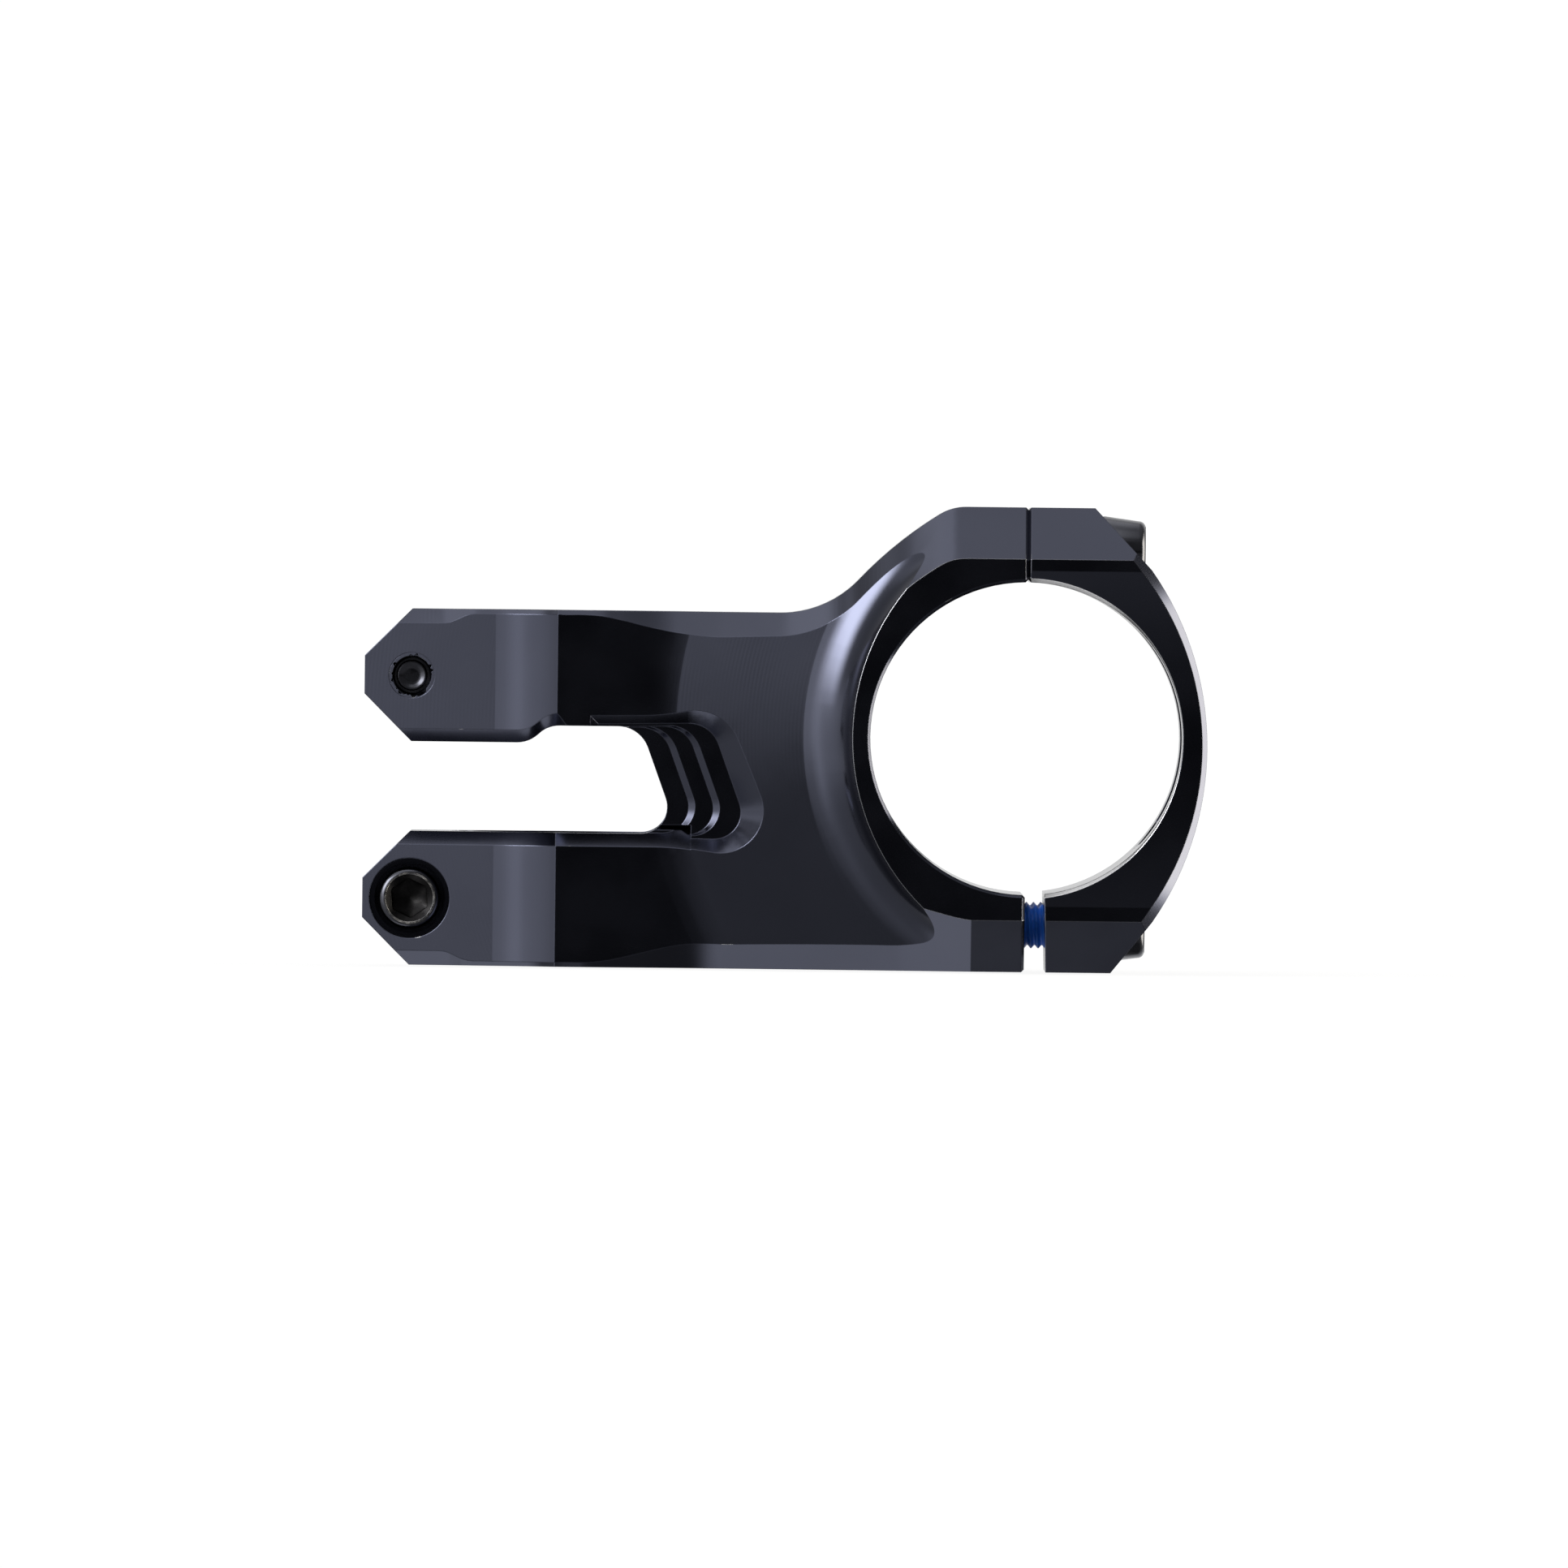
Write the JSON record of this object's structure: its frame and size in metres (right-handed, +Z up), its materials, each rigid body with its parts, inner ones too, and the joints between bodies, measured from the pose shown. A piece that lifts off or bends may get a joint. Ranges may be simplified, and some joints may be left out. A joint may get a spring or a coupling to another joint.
{
  "type": "handlebar stem",
  "caption": "Short machined handlebar stem with a forked, side-windowed steerer clamp, a flared bar clamp and a bolted faceplate with a square window.",
  "frame": {"origin": "on the steerer clamp's axis at half the stack height", "axes": "+Z up along the steerer clamp's axis, +X forward towards the bar, +Y to the rider's left along the bar's axis"},
  "size_m": [0.0945, 0.05, 0.0521],
  "materials": {
    "anodised_body": "black hard-anodised machined aluminium, satin, faintly blue",
    "bolt_steel": "dark coated steel, glossy",
    "thread_patch": "blue cured thread-locking compound"
  },
  "bodies": {
    "stem": {"stem_body": "anodised_body"},
    "plate": {"faceplate": "anodised_body"},
    "faceplate_upper_left_screw": {"faceplate_upper_left_bolt": "bolt_steel", "faceplate_upper_left_threadlock": "thread_patch"},
    "faceplate_upper_right_screw": {"faceplate_upper_right_bolt": "bolt_steel", "faceplate_upper_right_threadlock": "thread_patch"},
    "faceplate_lower_left_screw": {"faceplate_lower_left_bolt": "bolt_steel", "faceplate_lower_left_threadlock": "thread_patch"},
    "faceplate_lower_right_screw": {"faceplate_lower_right_bolt": "bolt_steel", "faceplate_lower_right_threadlock": "thread_patch"},
    "pinch_upper_screw": {"pinch_upper_bolt": "bolt_steel", "pinch_upper_threadlock": "thread_patch"},
    "pinch_lower_screw": {"pinch_lower_bolt": "bolt_steel", "pinch_lower_threadlock": "thread_patch"}
  },
  "joints": [
    {"name": "plate_pull", "type": "slide", "parent": "stem", "child": "plate", "axis": [1, 0, 0], "range_m": [0, 0.03]},
    {"name": "faceplate_upper_left_unscrew", "type": "slide", "parent": "plate", "child": "faceplate_upper_left_screw", "axis": [1, 0, 0], "range_m": [0, 0.012]},
    {"name": "faceplate_upper_right_unscrew", "type": "slide", "parent": "plate", "child": "faceplate_upper_right_screw", "axis": [1, 0, 0], "range_m": [0, 0.012]},
    {"name": "faceplate_lower_left_unscrew", "type": "slide", "parent": "plate", "child": "faceplate_lower_left_screw", "axis": [1, 0, 0], "range_m": [0, 0.012]},
    {"name": "faceplate_lower_right_unscrew", "type": "slide", "parent": "plate", "child": "faceplate_lower_right_screw", "axis": [1, 0, 0], "range_m": [0, 0.012]},
    {"name": "pinch_upper_unscrew", "type": "slide", "parent": "stem", "child": "pinch_upper_screw", "axis": [0, 1, 0], "range_m": [0, 0.022]},
    {"name": "pinch_lower_unscrew", "type": "slide", "parent": "stem", "child": "pinch_lower_screw", "axis": [0, -1, 0], "range_m": [0, 0.022]}
  ]
}
